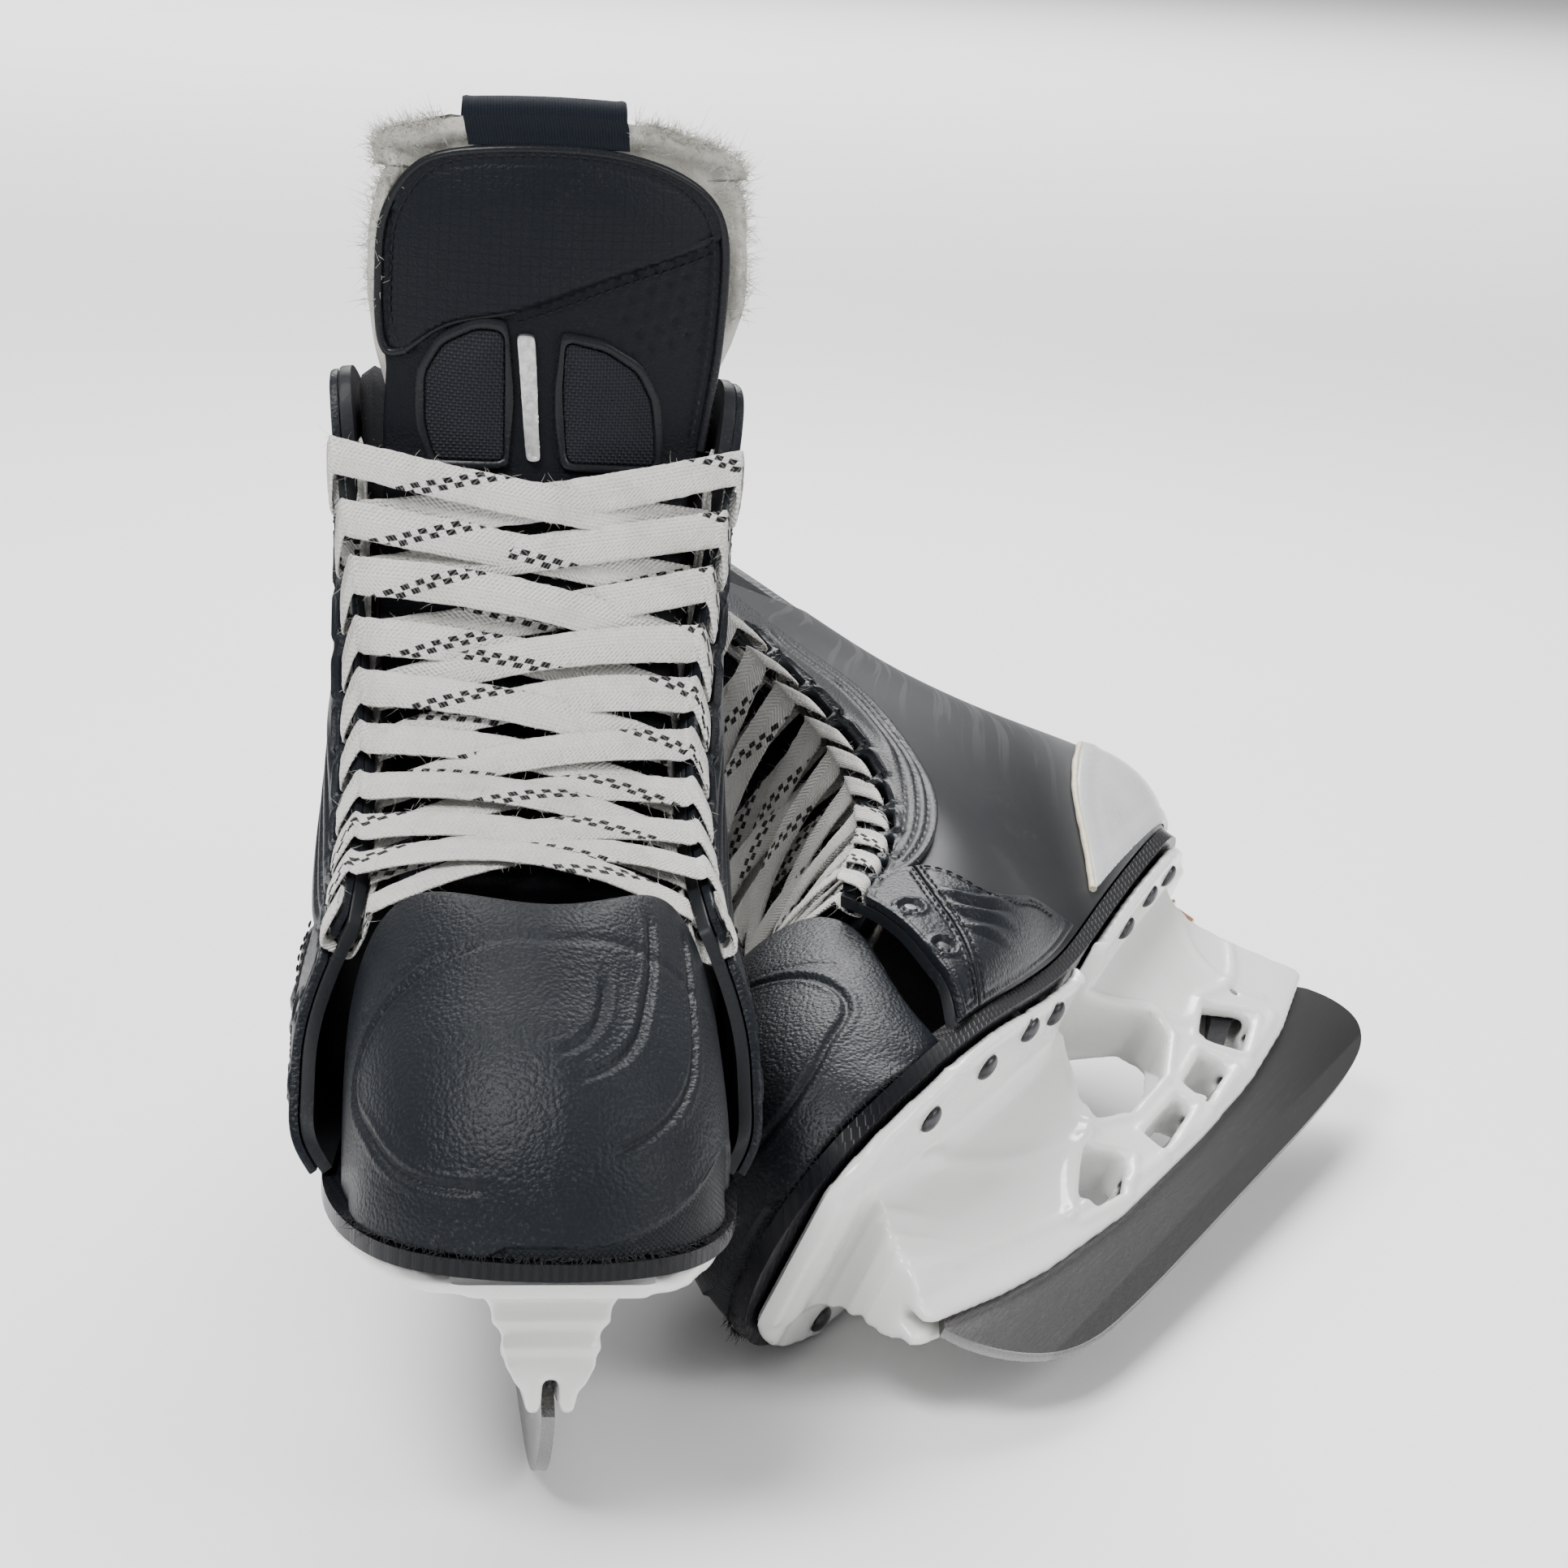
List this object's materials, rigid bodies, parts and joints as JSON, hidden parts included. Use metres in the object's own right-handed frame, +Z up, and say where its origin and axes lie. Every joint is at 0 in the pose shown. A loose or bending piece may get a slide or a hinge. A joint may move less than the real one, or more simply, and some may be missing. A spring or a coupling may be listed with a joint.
{
  "type": "pair of ice hockey skates",
  "caption": "Pair of laced hockey skates with moulded boots, tall felt tongues, blade holders and steel runners; one stands, the other lies on its side.",
  "frame": {"origin": "on the floor, on the right skate's running edge under the middle of its runner", "axes": "+Z up, -Y towards the right skate's toe, +X from the right skate towards the left one"},
  "size_m": [0.3179, 0.4111, 0.2916],
  "materials": {
    "outsole": "glossy dark composite sheet",
    "footbed": "woven dark insole cloth",
    "holder": "glossy white moulded nylon",
    "runner": "ground steel, polished along the edge",
    "trigger": "matte black moulded nylon",
    "pin": "plain steel",
    "rivet": "blackened steel",
    "copper": "copper plated",
    "quarter": "dark grey composite shell with a fine sheen",
    "liner": "black napped lining cloth",
    "heel_counter": "silver-white moulded plastic",
    "facing": "black moulded rubbery plastic",
    "overlay": "black coated synthetic leather",
    "toe_cap": "black pebbled plastic",
    "tendon_guard": "dark grey flexible plastic",
    "tongue_cover": "black coated fabric",
    "felt": "off-white wool felt",
    "mesh_pad": "black ballistic mesh",
    "strip": "satin silver",
    "label": "plain black woven tab",
    "lace": "off-white waxed cotton weave with dark tracer threads"
  },
  "bodies": {
    "right_skate": {"right_outsole": "outsole", "right_footbed": "footbed", "right_blade_holder": "holder", "right_trigger_pin": "pin", "right_trigger_spring": "pin", "right_rivets": "rivet", "right_heel_rivet": "copper", "right_quarter_shell": "quarter", "right_ankle_liner": "liner", "right_heel_counter": "heel_counter", "right_outer_facing": "facing", "right_outer_side_panel": "overlay", "right_outer_vamp_strap": "overlay", "right_inner_facing": "facing", "right_inner_side_panel": "overlay", "right_inner_vamp_strap": "overlay", "right_toe_cap": "toe_cap", "right_tongue_lower": "tongue_cover", "right_tongue_felt_lower": "felt", "right_lace": "lace"},
    "right_tongue_top": {"right_tongue_upper": "tongue_cover", "right_tongue_felt_upper": "felt", "right_tongue_pads": "mesh_pad", "right_tongue_strip": "strip", "right_tongue_label": "label"},
    "right_runner": {"right_runner": "runner"},
    "right_trigger": {"right_trigger": "trigger"},
    "right_tendon_guard": {"right_tendon_guard": "tendon_guard"},
    "left_skate": {"left_outsole": "outsole", "left_footbed": "footbed", "left_blade_holder": "holder", "left_trigger_pin": "pin", "left_trigger_spring": "pin", "left_rivets": "rivet", "left_heel_rivet": "copper", "left_quarter_shell": "quarter", "left_ankle_liner": "liner", "left_heel_counter": "heel_counter", "left_outer_facing": "facing", "left_outer_side_panel": "overlay", "left_outer_vamp_strap": "overlay", "left_inner_facing": "facing", "left_inner_side_panel": "overlay", "left_inner_vamp_strap": "overlay", "left_toe_cap": "toe_cap", "left_tongue_lower": "tongue_cover", "left_tongue_felt_lower": "felt", "left_lace": "lace"},
    "left_tongue_top": {"left_tongue_upper": "tongue_cover", "left_tongue_felt_upper": "felt", "left_tongue_pads": "mesh_pad", "left_tongue_strip": "strip", "left_tongue_label": "label"},
    "left_runner": {"left_runner": "runner"},
    "left_trigger": {"left_trigger": "trigger"},
    "left_tendon_guard": {"left_tendon_guard": "tendon_guard"}
  },
  "joints": [
    {"name": "right_tongue_fold", "type": "hinge", "parent": "right_skate", "child": "right_tongue_top", "pos_m": [0, 0.027, 0.215], "axis": [1, 0, 0], "range_deg": [0, 15], "stiffness_Nm_per_rad": 0.6},
    {"name": "right_guard_flex", "type": "hinge", "parent": "right_skate", "child": "right_tendon_guard", "pos_m": [0, 0.1185, 0.206], "axis": [1, 0, 0], "range_deg": [-22, 0], "stiffness_Nm_per_rad": 1.5},
    {"name": "right_runner_release", "type": "hinge", "parent": "right_skate", "child": "right_runner", "pos_m": [0, -0.112, 0.03], "axis": [1, 0, 0], "range_deg": [-5, 0]},
    {"name": "right_trigger_pull", "type": "hinge", "parent": "right_skate", "child": "right_trigger", "pos_m": [0, 0.096, 0.041], "axis": [1, 0, 0], "range_deg": [-12, 0], "stiffness_Nm_per_rad": 0.05},
    {"name": "left_tongue_fold", "type": "hinge", "parent": "left_skate", "child": "left_tongue_top", "pos_m": [0.04265, 0.1463, 0.10508], "axis": [0.3109, -0.2599, 0.9142], "range_deg": [0, 15], "stiffness_Nm_per_rad": 0.6},
    {"name": "left_guard_flex", "type": "hinge", "parent": "left_skate", "child": "left_tendon_guard", "pos_m": [0.10155, 0.2169, 0.10512], "axis": [0.3109, -0.2599, 0.9142], "range_deg": [-22, 0], "stiffness_Nm_per_rad": 1.5},
    {"name": "left_runner_release", "type": "hinge", "parent": "left_skate", "child": "left_runner", "pos_m": [0.10445, -0.06178, 0.0249], "axis": [0.3109, -0.2599, 0.9142], "range_deg": [-5, 0]},
    {"name": "left_trigger_pull", "type": "hinge", "parent": "left_skate", "child": "left_trigger", "pos_m": [0.21439, 0.11467, 0.03769], "axis": [0.3109, -0.2599, 0.9142], "range_deg": [-12, 0], "stiffness_Nm_per_rad": 0.05},
    {"name": "skates_apart", "type": "slide", "parent": "right_skate", "child": "left_skate", "axis": [1, 0, 0], "range_m": [0, 0.3]}
  ]
}
